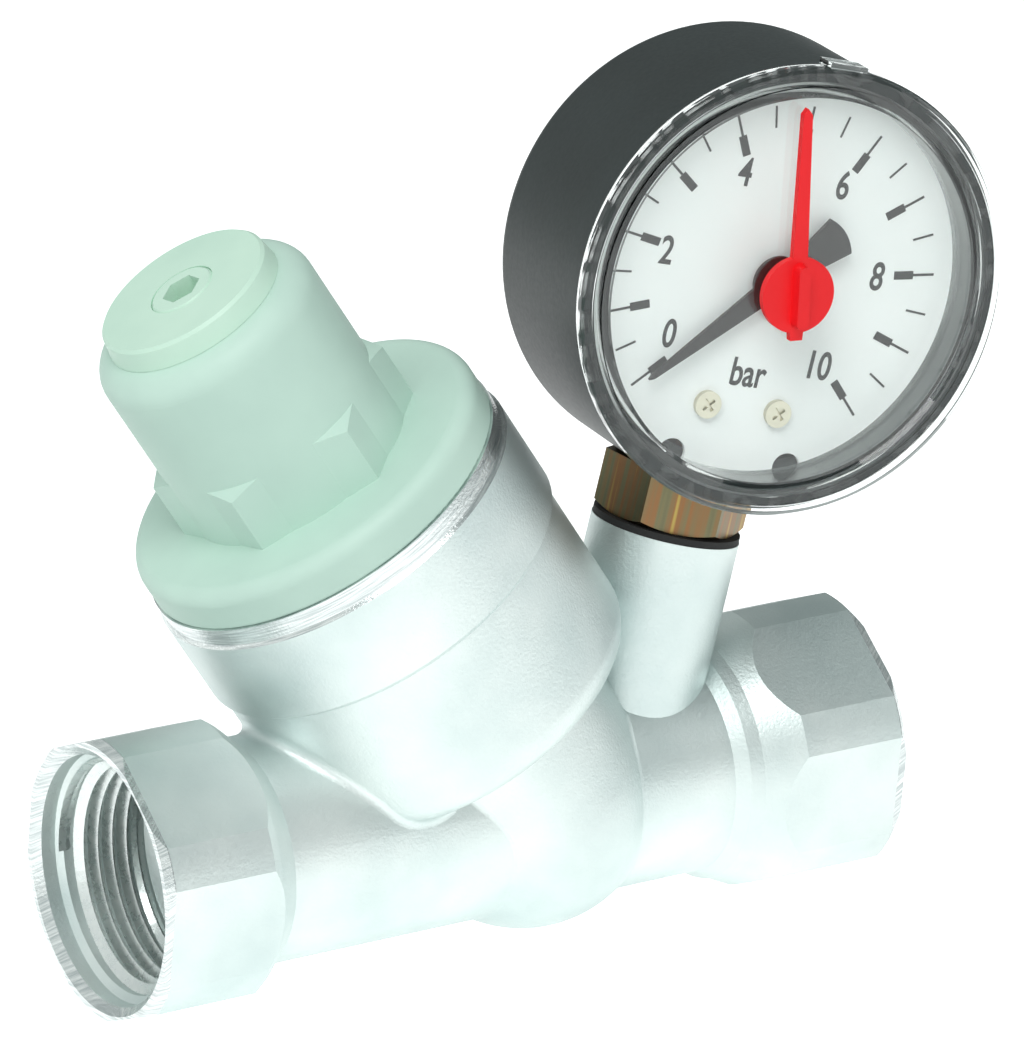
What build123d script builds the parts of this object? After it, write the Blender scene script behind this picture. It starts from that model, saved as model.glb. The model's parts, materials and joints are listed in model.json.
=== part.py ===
"""Inclined pressure reducing valve with a pressure gauge, in millimetres.

The origin is the middle of the inlet face. +X runs along the pipe towards the outlet, +Z is up and
-Y is the side that the dial faces. The bonnet leans back over the inlet, and the gauge stem leans
towards the outlet and a little to the front.
"""

from build123d import *
from math import acos, cos, degrees, pi, radians, sin, sqrt, tan
import os

os.makedirs("parts", exist_ok=True)

# ---- Pipe and ports -------------------------------------------------------------------------
body_length = 96.0
port_radius = 16.4
port_across_flats = 30.5
port_flats_turn = 13.0
port_length = 14.5
port_rim_radius = 15.65
port_shoulder = 3.2
outlet_shoulder = 6.2
counterbore_radius = 14.05
counterbore_depth = 2.6
thread_radius = 13.22
thread_depth = 13.4
bore_radius = 10.2
neck_radius = 12.75
mouth_chamfer = 0.9

# ---- Bonnet, measured along its own axis from where it crosses the pipe's axis ---------------
bonnet_x = 54.4
bonnet_tilt = 32.0
bulge_radius = 15.2
chamber_radius = 21.3
chamber_bottom = 12.5
chamber_edge = 4.0
band_radius = 22.0
band_bottom = 31.8
turned_radius = 21.6
turned_bottom = 42.7
body_top = 45.2
partition_bottom = -4.5
partition_top = -0.5
outlet_chamber_radius = 12.6
nose_bore_radius = 8.7
annulus_radius = 12.0
annulus_top = 16.0
main_bore_radius = 17.0
ledge_height = 36.0
cover_thread_radius = 19.3
cast_fillet = 1.0
chamber_neck_blend = 1.6

# ---- Gauge stem, measured along its own axis from where it crosses the pipe's axis -----------
stem_x = 65.6
stem_lean_side = 14.0
stem_lean_front = 7.0
gauge_swing = -8.7
boss_radius = 8.5
boss_top = 29.5
boss_thread_radius = 5.9
boss_thread_depth = 12.0
boss_hole_radius = 2.2

# ---- Fits -------------------------------------------------------------------------------------
running = 0.05
sliding = 0.1
loose = 0.15
gap = 0.3

# ---- Cartridge --------------------------------------------------------------------------------
nose_radius = nose_bore_radius - loose
nose_groove_depth = 1.4
nose_groove_bottom = -3.2
nose_groove_width = 1.8
window_outer_radius = 9.0
window_inner_radius = 7.6
window_top = 9.4
window_count = 4
window_width = 8.4
plug_bottom = 10.6
plug_radius = annulus_radius - loose
plug_groove_depth = 1.5
plug_groove_bottom = 12.2
plug_groove_width = 2.0
cup_radius = main_bore_radius - loose
cup_inner_radius = 15.2
cup_floor = 18.8
rim_radius = cover_thread_radius - gap
rim_thickness = 1.5
piston_bore_radius = 5.45
seat_hole_radius = 5.5
seat_radius = 7.0
seat_lip = 0.6
strainer_radius = 10.3
strainer_wall = 0.7
strainer_slot_count = 24
strainer_slot_width = 1.1
strainer_rows = 3

# ---- Moving valve -----------------------------------------------------------------------------
lift = 2.5
valve_stem_radius = 2.5
stem_tail_radius = 1.9
stem_channel_radius = 0.9
piston_radius = piston_bore_radius - running
piston_length = 6.4
piston_bottom = 10.2
seal_top = -5.1 - lift
seal_radius = 6.4
seal_thickness = 1.6
obturator_radius = 7.3
obturator_floor = 1.0
retainer_radius = 3.4
retainer_thickness = 0.6

# ---- Diaphragm --------------------------------------------------------------------------------
diaphragm_thickness = 1.2
diaphragm_centre = 37.2
plate_radius = 12.5
plate_thickness = 1.2
upper_rim_height = 2.4
roll_inner = 12.9
roll_outer = 15.1
slip_ring_thickness = 0.6
stem_nut_across = 8.0
stem_nut_height = 2.8

# ---- Cover and adjustment ---------------------------------------------------------------------
cover_flange_radius = 21.4
cover_flange_thickness = 4.8
cover_flange_round = 1.7
cover_hexagon = 25.5
cover_hexagon_height = 8.0
cover_hexagon_chamfer = 1.2
cover_hexagon_turn = 36.5
tower_radius = 13.2
tower_top = 72.95
tower_round = 3.2
tower_inner_radius = 10.9
tower_inner_top = 68.6
skirt_inner_radius = 15.2
dome_start = 49.3
dome_end = 52.5
cap_seat_radius = 9.7
cap_radius = 10.5
cap_taper = 0.35
cap_height = 2.6
cap_plug_depth = 2.9
cap_plug_inner = 7.5
cap_web_bottom = 72.7
key_count = 3
key_width = 4.0
key_depth = 0.9
screw_head_radius = 3.8
screw_collar_radius = 6.9
screw_collar_bottom = 70.4
screw_collar_top = 72.0
screw_shank_radius = 4.0
screw_shank_end = 53.4
socket_across = 4.0
socket_depth = 4.2
spring_nut_bottom = 59.5
spring_nut_height = 4.0
spring_nut_boss = 2.4
spring_wire_radius = 1.25
spring_ground_off = 0.55
dead_turn_gap = 0.5
tangent_step = 0.01
spring_mean_radius = 8.1
spring_turns = 5

# ---- Gauge, with heights measured forwards from the dial's face -------------------------------
dial_height = 61.4
dial_forward = 10.2
case_radius = 25.0
case_wall = 1.4
case_back = -17.9
case_front = 4.5
case_back_round = 1.6
case_floor = 1.2
dial_radius = 22.2
dial_thickness = 0.5
dial_ledge = 1.8
dial_hole_radius = 1.6
dial_notch_radius = 1.7
dial_notch_angle = 19.0
dial_screw_x = 4.4
dial_screw_y = -14.9
dial_screw_head = 1.55
dial_screw_head_height = 0.7
small_screw_radius = 0.8
lens_radius = 25.5
lens_front = 6.5
lens_window_top = 6.0
lens_window_bottom = 4.7
lens_inner_radius = 22.0
lens_skirt_radius = 23.3
lens_groove_outer = 24.4
lens_groove_depth = 0.4
lens_tab_width = 4.6
gasket_thickness = 0.8
gasket_radius = 8.4
gauge_hexagon = 15.0
gauge_hexagon_turn = 43.0
gauge_hexagon_chamfer = 1.3
socket_neck_radius = 5.4
socket_thread_radius = boss_thread_radius - loose
socket_bore_radius = 1.2
block_half_width = 5.5
block_top = -13.0
block_foot = -21.9
block_back = -14.2
block_front = -8.4
tube_radius = 15.5
tube_half_height = 2.4
tube_half_width = 1.15
tube_wall = 0.35
tube_height = -11.2
tube_root_angle = 256.0
tube_tip_angle = -9.0
plate_sheet = 0.8
front_plate_back = -3.6
pillar_radius = 1.0
pillar_places = ((-6.5, -9.0), (7.0, 4.0), (-5.5, 5.5))
movement_screw_x = 3.3
movement_screw_y = -18.6
gear_module = 1.0 / 6.0
gear_addendum = 0.8
gear_dedendum = 1.25
gear_backlash = 0.16
pressure_angle = 20.0
pinion_teeth = 12
sector_wheel_teeth = 108
sector_teeth_before = 10
sector_teeth_after = 2
gear_back = -5.3
gear_thickness = 0.8
sector_pivot_angle = -70.0
tail_length = 6.0
tail_angle = -20.0
tip_pin_x = 15.0
tip_pin_y = -4.0
pin_radius = 0.4
link_back = -6.5
link_thickness = 0.5
link_slack = 0.3
arbor_radius = 0.5
sector_arbor_radius = 0.6
collet_radius = 1.1
hairspring_start = 1.4
hairspring_growth = 0.7
hairspring_half_turns = 9
hairspring_strip = 0.15
hairspring_width = 0.6
pointer_back = 1.2
pointer_thickness = 0.5
pointer_hub_radius = 3.0
pointer_length = 18.1
pointer_tail = 9.1
pointer_tail_half_angle = 15.5
pointer_zero = 225.0
marker_angle = 101.6
marker_back = 6.3
marker_disc_radius = 4.3
marker_length = 21.1
marker_tail = 5.2
marker_thickness = 0.9
marker_grip_height = 1.5
marker_grip_width = 1.7
stud_radius = 1.5
stud_head_radius = 2.4

# ---- Planes -----------------------------------------------------------------------------------
bonnet = Plane(
    origin=(bonnet_x, 0, 0),
    x_dir=(cos(radians(bonnet_tilt)), 0, sin(radians(bonnet_tilt))),
    z_dir=(-sin(radians(bonnet_tilt)), 0, cos(radians(bonnet_tilt))),
)
bonnet_section = Plane(origin=bonnet.origin, x_dir=bonnet.x_dir, z_dir=-bonnet.y_dir)
stem = Plane(origin=(stem_x, 0, 0)).rotated((stem_lean_front, stem_lean_side, gauge_swing))
stem_section = Plane(origin=stem.origin, x_dir=stem.x_dir, z_dir=-stem.y_dir)
dial = Plane(
    origin=stem.origin + stem.z_dir * dial_height - stem.y_dir * dial_forward,
    x_dir=stem.x_dir,
    z_dir=-stem.y_dir,
)
dial_section = Plane(origin=dial.origin, x_dir=dial.x_dir, z_dir=-dial.y_dir)
pipe_section = Plane.XZ


def upright_axis(section):
    """The axis that a section's outlines are turned about."""
    return Axis(section.origin, section.y_dir)


def turned(section, outline, mode=Mode.ADD, arc=360.0):
    """Turns a closed outline of (radius, height) points about the section's upright axis."""
    with BuildSketch(section) as profile:
        with BuildLine():
            Polyline(*outline, close=True)
        make_face()
    revolve(profile.sketch, axis=upright_axis(section), revolution_arc=arc, mode=mode)


def ring(section, inner, outer, bottom, top, mode=Mode.ADD):
    """A plain ring, or a disc where the inner radius is nought."""
    turned(section, [(inner, bottom), (outer, bottom), (outer, top), (inner, top)], mode)


def along_pipe(outline, mode=Mode.ADD):
    """Turns a closed outline of (x, radius) points about the pipe's axis."""
    with BuildSketch(pipe_section) as profile:
        with BuildLine():
            Polyline(*outline, close=True)
        make_face()
    revolve(profile.sketch, axis=Axis.X, mode=mode)


def round_ring(section, mean_radius, height, section_radius):
    """A rubber ring of round section."""
    with BuildSketch(section) as profile:
        with Locations((mean_radius, height)):
            Circle(section_radius)
    revolve(profile.sketch, axis=upright_axis(section))


def polar(radius, angle, centre=(0, 0)):
    """A point at an angle in degrees from the x direction, about a centre."""
    return (
        centre[0] + radius * cos(radians(angle)),
        centre[1] + radius * sin(radians(angle)),
    )


def save(builder, name):
    """Names a finished sub-part and writes it."""
    builder.part.label = name
    export_step(builder.part, f"parts/{name}.step")


def mouth_outline(face, inward):
    """The threaded mouth of a port as (x, radius) points, from its face in the inward direction."""
    return [
        (face - inward, 0),
        (face - inward, counterbore_radius + mouth_chamfer),
        (face, counterbore_radius + mouth_chamfer),
        (face + inward * mouth_chamfer, counterbore_radius),
        (face + inward * counterbore_depth, counterbore_radius),
        (face + inward * (counterbore_depth + 0.6), thread_radius),
        (face + inward * thread_depth, thread_radius),
        (face + inward * (thread_depth + 2.4), bore_radius),
        (face + inward * (thread_depth + 2.4), 0),
    ]


# ---- Body -------------------------------------------------------------------------------------
outlet_shoulder_start = body_length - port_length + 1.0 - outlet_shoulder
inlet_outline = [
    (0, 0),
    (0, port_rim_radius),
    (0.8, port_radius),
    (port_length - 1.2, port_radius),
    (port_length, port_radius - 0.8),
    (port_length + port_shoulder, neck_radius),
    (port_length + port_shoulder, 0),
]
outlet_outline = [
    (body_length, 0),
    (body_length, port_rim_radius),
    (body_length - 0.8, port_radius),
    (body_length - port_length + 1.0, port_radius),
    (outlet_shoulder_start + 1.6, neck_radius + 1.5),
    (outlet_shoulder_start, neck_radius + 1.1),
    (outlet_shoulder_start - 1.4, neck_radius),
    (outlet_shoulder_start - 1.4, 0),
]

# The inlet bore stops above the seat wall and the outlet bore starts below it.
hollows = []
for start, stop, wall, kept in (
    (thread_depth, bonnet_x, partition_top, Keep.TOP),
    (body_length - thread_depth, bonnet_x, partition_bottom, Keep.BOTTOM),
):
    with BuildPart() as passage:
        with BuildSketch(Plane.YZ.offset(min(start, stop))):
            Circle(bore_radius)
        extrude(amount=abs(stop - start))
        split(bisect_by=bonnet.offset(wall), keep=kept)
    hollows.append(passage.part)

with BuildPart() as outlet_room:
    with BuildSketch(bonnet_section):
        with BuildLine():
            CenterArc((0, 0), outlet_chamber_radius, -90, 180)
            Line((0, outlet_chamber_radius), (0, -outlet_chamber_radius))
        make_face()
    revolve(axis=upright_axis(bonnet_section))
    split(bisect_by=bonnet.offset(partition_bottom), keep=Keep.BOTTOM)
hollows.append(outlet_room.part)

with BuildPart() as body:
    # Neck, bulge under the seat and slanted chamber, blended like a forging.
    with BuildSketch(Plane.YZ.offset(port_length)):
        Circle(neck_radius)
    extrude(amount=outlet_shoulder_start - port_length)
    with BuildSketch(bonnet_section):
        with BuildLine():
            CenterArc((0, 0), bulge_radius, -90, 90)
            FilletPolyline(
                (bulge_radius, 0),
                (bulge_radius, chamber_bottom),
                (chamber_radius, chamber_bottom),
                (chamber_radius, chamber_bottom + 2.5 * chamber_edge),
                radius=[chamber_neck_blend, chamber_edge],
            )
            Polyline(
                (chamber_radius, chamber_bottom + 2.5 * chamber_edge),
                (chamber_radius, band_bottom),
                (band_radius, band_bottom + 0.7),
                (band_radius, turned_bottom),
                (turned_radius, turned_bottom + 0.4),
                (turned_radius, body_top),
                (0, body_top),
                (0, -bulge_radius),
            )
        make_face()
    revolve(axis=upright_axis(bonnet_section))
    seams = body.edges().filter_by(lambda edge: edge.geom_type in (GeomType.BSPLINE, GeomType.ELLIPSE))
    fillet(seams, radius=cast_fillet)
    # The gauge boss.
    with BuildSketch(stem):
        Circle(boss_radius)
    extrude(amount=boss_top)
    # Turned ports with six blunt flats.
    along_pipe(inlet_outline)
    along_pipe(outlet_outline)
    for start, length in ((0, port_length + 1.0), (body_length - port_length - 1.5, port_length + 1.5)):
        with BuildSketch(Plane.YZ.offset(start)):
            Circle(port_radius + 2)
            RegularPolygon(
                port_across_flats / 2,
                6,
                major_radius=False,
                rotation=port_flats_turn + 30,
                mode=Mode.SUBTRACT,
            )
        extrude(amount=length, mode=Mode.SUBTRACT)
    # Both threaded mouths and the bores behind them.
    along_pipe(mouth_outline(0, 1), mode=Mode.SUBTRACT)
    along_pipe(mouth_outline(body_length, -1), mode=Mode.SUBTRACT)
    # The two passages and the room under the seat wall.
    for hollow in hollows:
        add(hollow, mode=Mode.SUBTRACT)
    # The stepped bore that takes the cartridge and the cover.
    turned(
        bonnet_section,
        [
            (0, partition_bottom - 1),
            (nose_bore_radius, partition_bottom - 1),
            (nose_bore_radius, partition_top),
            (annulus_radius, partition_top),
            (annulus_radius, annulus_top),
            (main_bore_radius, annulus_top),
            (main_bore_radius, ledge_height),
            (cover_thread_radius, ledge_height),
            (cover_thread_radius, body_top),
            (0, body_top),
        ],
        mode=Mode.SUBTRACT,
    )
    # The gauge hole.
    with BuildSketch(stem.offset(boss_top - boss_thread_depth)):
        Circle(boss_thread_radius)
    extrude(amount=boss_thread_depth, mode=Mode.SUBTRACT)
    with BuildSketch(stem.offset(-1)):
        Circle(boss_hole_radius)
    extrude(amount=boss_top, mode=Mode.SUBTRACT)
save(body, "body")

# ---- Seat, cartridge and strainer -------------------------------------------------------------
with BuildPart() as cartridge_housing:
    turned(
        bonnet_section,
        [
            (seat_radius, partition_bottom),
            (nose_radius, partition_bottom),
            (nose_radius, nose_groove_bottom),
            (nose_radius - nose_groove_depth, nose_groove_bottom),
            (nose_radius - nose_groove_depth, nose_groove_bottom + nose_groove_width),
            (nose_radius, nose_groove_bottom + nose_groove_width),
            (nose_radius, partition_top + loose),
            (window_outer_radius, partition_top + loose),
            (window_outer_radius, plug_bottom),
            (plug_radius, plug_bottom),
            (plug_radius, plug_groove_bottom),
            (plug_radius - plug_groove_depth, plug_groove_bottom),
            (plug_radius - plug_groove_depth, plug_groove_bottom + plug_groove_width),
            (plug_radius, plug_groove_bottom + plug_groove_width),
            (plug_radius, annulus_top),
            (cup_radius, annulus_top),
            (cup_radius, ledge_height),
            (rim_radius, ledge_height),
            (rim_radius, ledge_height + rim_thickness),
            (cup_inner_radius, ledge_height + rim_thickness),
            (cup_inner_radius, cup_floor),
            (piston_bore_radius, cup_floor),
            (piston_bore_radius, window_top),
            (window_inner_radius, window_top),
            (window_inner_radius, partition_top + loose),
            (seat_radius, partition_top + loose),
        ],
    )
    # Windows that let the water in under the strainer.
    with BuildSketch(bonnet.offset(partition_top + 0.6)):
        with PolarLocations(0, window_count, start_angle=45):
            with Locations((window_outer_radius, 0)):
                Rectangle(2.2 * (window_outer_radius - window_inner_radius) + 1, window_width)
    extrude(amount=window_top - partition_top - 1.4, mode=Mode.SUBTRACT)
    # Passages through the cup floor, so that outlet pressure reaches the diaphragm.
    with BuildSketch(bonnet.offset(cup_floor - 1.2)):
        with PolarLocations((cup_inner_radius + piston_bore_radius) / 2, 6):
            Circle(1.2)
    extrude(amount=1.2, mode=Mode.SUBTRACT)
save(cartridge_housing, "cartridge_housing")

with BuildPart() as seat_ring:
    turned(
        bonnet_section,
        [
            (seat_hole_radius, partition_bottom - seat_lip),
            (seat_hole_radius + 0.5, partition_bottom - seat_lip),
            (seat_hole_radius + 0.9, partition_bottom),
            (seat_radius, partition_bottom),
            (seat_radius, partition_top + loose),
            (seat_hole_radius, partition_top + loose),
        ],
    )
save(seat_ring, "seat_ring")

for ring_name, groove_radius, groove_depth, groove_bottom, groove_width, wall in (
    ("cartridge_nose_ring", nose_radius, nose_groove_depth, nose_groove_bottom, nose_groove_width, nose_bore_radius),
    ("cartridge_upper_ring", plug_radius, plug_groove_depth, plug_groove_bottom, plug_groove_width, annulus_radius),
):
    groove_floor = groove_radius - groove_depth
    with BuildPart() as packing_ring:
        round_ring(
            bonnet_section,
            (wall + groove_floor) / 2,
            groove_bottom + groove_width / 2,
            (wall - groove_floor) / 2 - 0.02,
        )
    save(packing_ring, ring_name)

with BuildPart() as strainer:
    ring(
        bonnet_section,
        strainer_radius - strainer_wall,
        strainer_radius,
        partition_top + 2 * loose,
        plug_bottom - loose,
    )
    ring(
        bonnet_section,
        window_outer_radius + 0.1,
        strainer_radius,
        partition_top + 2 * loose,
        partition_top + 2 * loose + 0.5,
    )
    ring(
        bonnet_section,
        window_outer_radius + 0.1,
        strainer_radius,
        plug_bottom - loose - 0.5,
        plug_bottom - loose,
    )
    strainer_pitch = (plug_bottom - partition_top - 1.6) / strainer_rows
    for row in range(strainer_rows):
        with BuildSketch(bonnet.offset(partition_top + 1.0 + row * strainer_pitch)):
            with PolarLocations(strainer_radius, strainer_slot_count):
                Rectangle(2 * strainer_wall + 0.4, strainer_slot_width)
        extrude(amount=strainer_pitch - 0.7, mode=Mode.SUBTRACT)
save(strainer, "strainer")

# ---- Moving valve: stem, obturator, seal and plates -------------------------------------------
stem_bottom = seal_top - seal_thickness
stem_top = diaphragm_centre + diaphragm_thickness + plate_thickness + stem_nut_height + 0.8
with BuildPart() as valve_stem:
    turned(
        bonnet_section,
        [
            (stem_channel_radius, stem_bottom),
            (stem_tail_radius, stem_bottom),
            (stem_tail_radius, seal_top + retainer_thickness),
            (valve_stem_radius, seal_top + retainer_thickness),
            (valve_stem_radius, piston_bottom),
            (piston_radius, piston_bottom),
            (piston_radius, piston_bottom + 2.2),
            (piston_radius - 1.1, piston_bottom + 2.2),
            (piston_radius - 1.1, piston_bottom + 4.0),
            (piston_radius, piston_bottom + 4.0),
            (piston_radius, piston_bottom + piston_length),
            (valve_stem_radius, piston_bottom + piston_length),
            (valve_stem_radius, stem_top - 0.4),
            (valve_stem_radius - 0.4, stem_top),
            (0, stem_top),
            (0, cup_floor + 6),
            (stem_channel_radius, cup_floor + 6),
        ],
    )
    # Cross hole that lets outlet pressure out under the diaphragm.
    with BuildSketch(Plane(origin=bonnet.origin + bonnet.z_dir * (cup_floor + 5), z_dir=bonnet.x_dir)):
        Circle(0.7)
    extrude(amount=valve_stem_radius, both=True, mode=Mode.SUBTRACT)
save(valve_stem, "valve_stem")

with BuildPart() as piston_ring:
    round_ring(
        bonnet_section,
        piston_radius - 0.55,
        piston_bottom + 3.1,
        0.53,
    )
save(piston_ring, "piston_ring")

with BuildPart() as obturator:
    turned(
        bonnet_section,
        [
            (stem_tail_radius, stem_bottom - obturator_floor),
            (obturator_radius - 0.6, stem_bottom - obturator_floor),
            (obturator_radius, stem_bottom - obturator_floor + 0.6),
            (obturator_radius, seal_top - 0.3),
            (seal_radius, seal_top - 0.3),
            (seal_radius, stem_bottom),
            (stem_tail_radius, stem_bottom),
        ],
    )
save(obturator, "obturator")

with BuildPart() as obturator_seal:
    ring(bonnet_section, stem_tail_radius, seal_radius, stem_bottom, seal_top)
save(obturator_seal, "obturator_seal")

with BuildPart() as seal_washer:
    ring(bonnet_section, stem_tail_radius, retainer_radius, seal_top, seal_top + retainer_thickness)
save(seal_washer, "seal_washer")

with BuildPart() as seal_screw:
    screw_face = stem_bottom - obturator_floor
    turned(
        bonnet_section,
        [
            (0.5, screw_face - 0.9),
            (2.4, screw_face - 0.9),
            (2.9, screw_face - 0.5),
            (2.9, screw_face),
            (stem_tail_radius, screw_face),
            (stem_tail_radius, stem_bottom),
            (0.5, stem_bottom),
        ],
    )
save(seal_screw, "seal_screw")

diaphragm_top = diaphragm_centre + diaphragm_thickness
rim_bottom = ledge_height + rim_thickness
with BuildPart() as diaphragm_lower_plate:
    turned(
        bonnet_section,
        [
            (valve_stem_radius, diaphragm_centre - 2.6),
            (4.6, diaphragm_centre - 2.6),
            (4.6, diaphragm_centre - plate_thickness),
            (plate_radius - 0.8, diaphragm_centre - plate_thickness),
            (plate_radius, diaphragm_centre - plate_thickness + 0.6),
            (plate_radius, diaphragm_centre),
            (valve_stem_radius, diaphragm_centre),
        ],
    )
save(diaphragm_lower_plate, "diaphragm_lower_plate")

with BuildPart() as diaphragm:
    # Flat middle, one rolled corrugation and a clamped rim.
    roll_middle = (roll_inner + roll_outer) / 2
    roll_depth = 1.6
    turned(
        bonnet_section,
        [
            (valve_stem_radius, diaphragm_centre),
            (roll_inner - 0.3, diaphragm_centre),
            (roll_middle - 0.8, diaphragm_centre - roll_depth),
            (roll_middle + 0.6, diaphragm_centre - roll_depth),
            (roll_outer + 0.1, rim_bottom),
            (rim_radius, rim_bottom),
            (rim_radius, rim_bottom + diaphragm_thickness),
            (roll_outer - 0.2, rim_bottom + diaphragm_thickness),
            (roll_middle, diaphragm_top - roll_depth),
            (roll_middle - 0.2, diaphragm_top - roll_depth),
            (roll_inner - 0.1, diaphragm_top),
            (valve_stem_radius, diaphragm_top),
        ],
    )
save(diaphragm, "diaphragm")

with BuildPart() as diaphragm_upper_plate:
    turned(
        bonnet_section,
        [
            (valve_stem_radius, diaphragm_top),
            (plate_radius - 0.4, diaphragm_top),
            (plate_radius, diaphragm_top + 0.4),
            (plate_radius, diaphragm_top + plate_thickness + upper_rim_height),
            (plate_radius - 1.0, diaphragm_top + plate_thickness + upper_rim_height),
            (plate_radius - 1.0, diaphragm_top + plate_thickness),
            (valve_stem_radius, diaphragm_top + plate_thickness),
        ],
    )
save(diaphragm_upper_plate, "diaphragm_upper_plate")

with BuildPart() as stem_nut:
    with BuildSketch(bonnet.offset(diaphragm_top + plate_thickness)):
        RegularPolygon(stem_nut_across / 2, 6, major_radius=False)
        Circle(valve_stem_radius, mode=Mode.SUBTRACT)
    extrude(amount=stem_nut_height)
save(stem_nut, "stem_nut")

slip_ring_bottom = rim_bottom + diaphragm_thickness
with BuildPart() as slip_ring:
    ring(bonnet_section, skirt_inner_radius, rim_radius, slip_ring_bottom, slip_ring_bottom + slip_ring_thickness)
save(slip_ring, "slip_ring")

# ---- Cover, cap and adjustment ----------------------------------------------------------------
cover_bottom = slip_ring_bottom + slip_ring_thickness
hexagon_bottom = body_top + cover_flange_thickness
hexagon_top = hexagon_bottom + cover_hexagon_height
with BuildPart() as cover:
    # The hexagon first, its upper corners turned off at 30 degrees.
    with BuildSketch(bonnet.offset(body_top + 1)):
        RegularPolygon(cover_hexagon / 2, 6, major_radius=False, rotation=cover_hexagon_turn)
    extrude(amount=hexagon_top - body_top - 1)
    corner_radius = cover_hexagon / sqrt(3)
    turned(
        bonnet_section,
        [
            (corner_radius - cover_hexagon_chamfer * 1.6, hexagon_top),
            (corner_radius + 1, hexagon_top - cover_hexagon_chamfer - 0.6),
            (corner_radius + 1, hexagon_top),
        ],
        mode=Mode.SUBTRACT,
    )
    # Threaded skirt, flange and tower.
    with BuildSketch(bonnet_section):
        with BuildLine():
            FilletPolyline(
                (0, cover_bottom),
                (rim_radius, cover_bottom),
                (rim_radius, body_top),
                (cover_flange_radius, body_top),
                (cover_flange_radius, hexagon_bottom),
                (tower_radius, hexagon_bottom),
                (tower_radius, tower_top),
                (0, tower_top),
                radius=[0.3, 0, 0.3, cover_flange_round, 0, tower_round],
            )
            Line((0, tower_top), (0, cover_bottom))
        make_face()
    revolve(axis=upright_axis(bonnet_section))
    turned(
        bonnet_section,
        [
            (0, cover_bottom),
            (skirt_inner_radius, cover_bottom),
            (skirt_inner_radius, dome_start - 2),
            (skirt_inner_radius - 1.6, dome_start - 0.4),
            (tower_inner_radius, dome_end - 2.4),
            (tower_inner_radius, tower_inner_top),
            (cap_seat_radius, tower_inner_top),
            (cap_seat_radius, tower_top),
            (0, tower_top),
        ],
        mode=Mode.SUBTRACT,
    )
    # Keyways that stop the spring nut from turning.
    with BuildSketch(bonnet.offset(dome_start)):
        with PolarLocations(tower_inner_radius, key_count):
            Rectangle(2 * (key_depth + sliding), key_width + 2 * sliding)
    extrude(amount=tower_inner_top - dome_start, mode=Mode.SUBTRACT)
save(cover, "cover")

with BuildPart() as cover_cap:
    turned(
        bonnet_section,
        [
            (screw_head_radius + running, cap_web_bottom),
            (cap_plug_inner, cap_web_bottom),
            (cap_plug_inner, tower_top - cap_plug_depth),
            (cap_seat_radius - sliding, tower_top - cap_plug_depth),
            (cap_seat_radius - sliding, tower_top),
            (cap_radius, tower_top),
            (cap_radius - cap_taper, tower_top + cap_height - 0.35),
            (cap_radius - cap_taper - 0.35, tower_top + cap_height),
            (screw_head_radius + running, tower_top + cap_height),
        ],
    )
save(cover_cap, "cover_cap")

with BuildPart() as thrust_washer:
    ring(
        bonnet_section,
        screw_head_radius + 2 * running,
        screw_collar_radius,
        screw_collar_top,
        cap_web_bottom - running,
    )
save(thrust_washer, "thrust_washer")

with BuildPart() as adjusting_screw:
    head_top = tower_top + cap_height + 0.1
    turned(
        bonnet_section,
        [
            (0, screw_shank_end),
            (screw_shank_radius - 0.8, screw_shank_end),
            (screw_shank_radius, screw_shank_end + 0.8),
            (screw_shank_radius, screw_collar_bottom),
            (screw_collar_radius, screw_collar_bottom),
            (screw_collar_radius, screw_collar_top - running),
            (screw_head_radius, screw_collar_top - running),
            (screw_head_radius, head_top - 0.3),
            (screw_head_radius - 0.3, head_top),
            (0, head_top),
        ],
    )
    with BuildSketch(bonnet.offset(head_top - socket_depth)):
        RegularPolygon(socket_across / 2, 6, major_radius=False, rotation=30)
    extrude(amount=socket_depth, mode=Mode.SUBTRACT)
save(adjusting_screw, "adjusting_screw")

with BuildPart() as spring_nut:
    with BuildSketch(bonnet.offset(spring_nut_bottom)):
        Circle(tower_inner_radius - gap)
        with PolarLocations(tower_inner_radius - gap, key_count):
            Rectangle(2 * (key_depth + gap - sliding), key_width)
    extrude(amount=spring_nut_height)
    with BuildSketch(bonnet.offset(spring_nut_bottom - spring_nut_boss)):
        Circle(spring_mean_radius - spring_wire_radius - gap)
    extrude(amount=spring_nut_boss)
    with BuildSketch(bonnet.offset(spring_nut_bottom - spring_nut_boss)):
        Circle(screw_shank_radius + running)
    extrude(amount=spring_nut_boss + spring_nut_height, mode=Mode.SUBTRACT)
save(spring_nut, "spring_nut")

# ---- Adjusting spring -------------------------------------------------------------------------
spring_foot = diaphragm_top + plate_thickness
spring_space = spring_nut_bottom - spring_foot
wire_diameter = 2 * spring_wire_radius
dead_turn_rise = wire_diameter + dead_turn_gap


def spring_height(turn):
    """Height of the wire's middle above the spring's foot after so many turns."""
    start = spring_wire_radius - spring_ground_off
    live_turns = spring_turns - 2
    live_rise = (spring_space - 2 * start - 2 * dead_turn_rise) / live_turns
    if turn <= 1:
        return start + dead_turn_rise * turn
    if turn <= spring_turns - 1:
        return start + dead_turn_rise + live_rise * (turn - 1)
    return spring_space - start - dead_turn_rise * (spring_turns - turn)


def spring_point(quarter):
    """A point on the wire's middle after so many quarter turns."""
    angle = quarter * pi / 2
    outwards = bonnet.x_dir * cos(angle) + bonnet.y_dir * sin(angle)
    height = spring_foot + spring_height(quarter / 4)
    return bonnet.origin + outwards * spring_mean_radius + bonnet.z_dir * height


def spring_tangent(quarter):
    """The wire's direction after so many quarter turns."""
    step = tangent_step
    return (spring_point(quarter + step) - spring_point(quarter - step)).normalized()


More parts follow.
